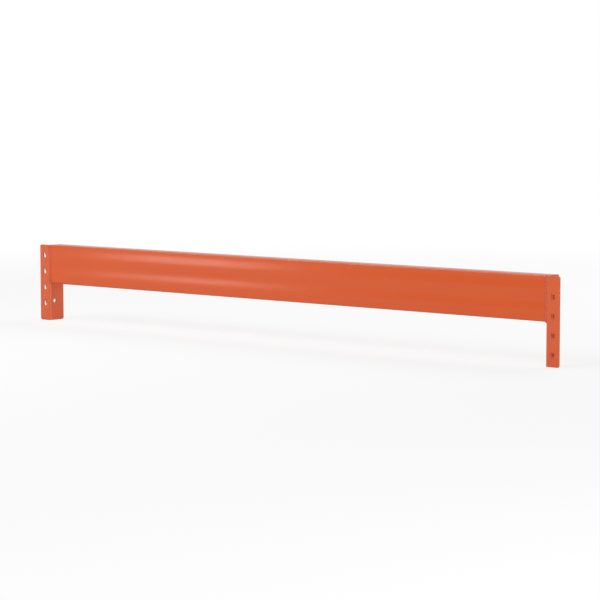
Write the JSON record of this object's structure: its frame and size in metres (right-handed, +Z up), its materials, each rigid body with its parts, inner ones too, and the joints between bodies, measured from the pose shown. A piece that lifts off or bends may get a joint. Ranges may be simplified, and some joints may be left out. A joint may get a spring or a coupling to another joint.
{
  "type": "pallet rack beam",
  "caption": "Welded steel box beam for pallet racking, two interlocking C channels between folded end connectors with lanced hooks and a safety lock hole.",
  "frame": {"origin": "midway along the beam, centred front to back on the connectors, on the plane of the connectors' lower ends, on which the loose beam stands", "axes": "+X along the beam to the right as seen from the aisle, -Y to the aisle, +Z up"},
  "size_m": [1.928, 0.057, 0.235],
  "materials": {
    "channel_paint": "satin orange-red powder coat on cold-rolled sheet",
    "connector_paint": "satin orange-red powder coat on folded plate",
    "weld_paint": "powder coat over a rippled weld bead"
  },
  "bodies": {
    "root": {"front_channel": "channel_paint", "rear_channel": "channel_paint", "left_connector": "connector_paint", "right_connector": "connector_paint", "left_weld": "weld_paint", "right_weld": "weld_paint"}
  },
  "joints": []
}
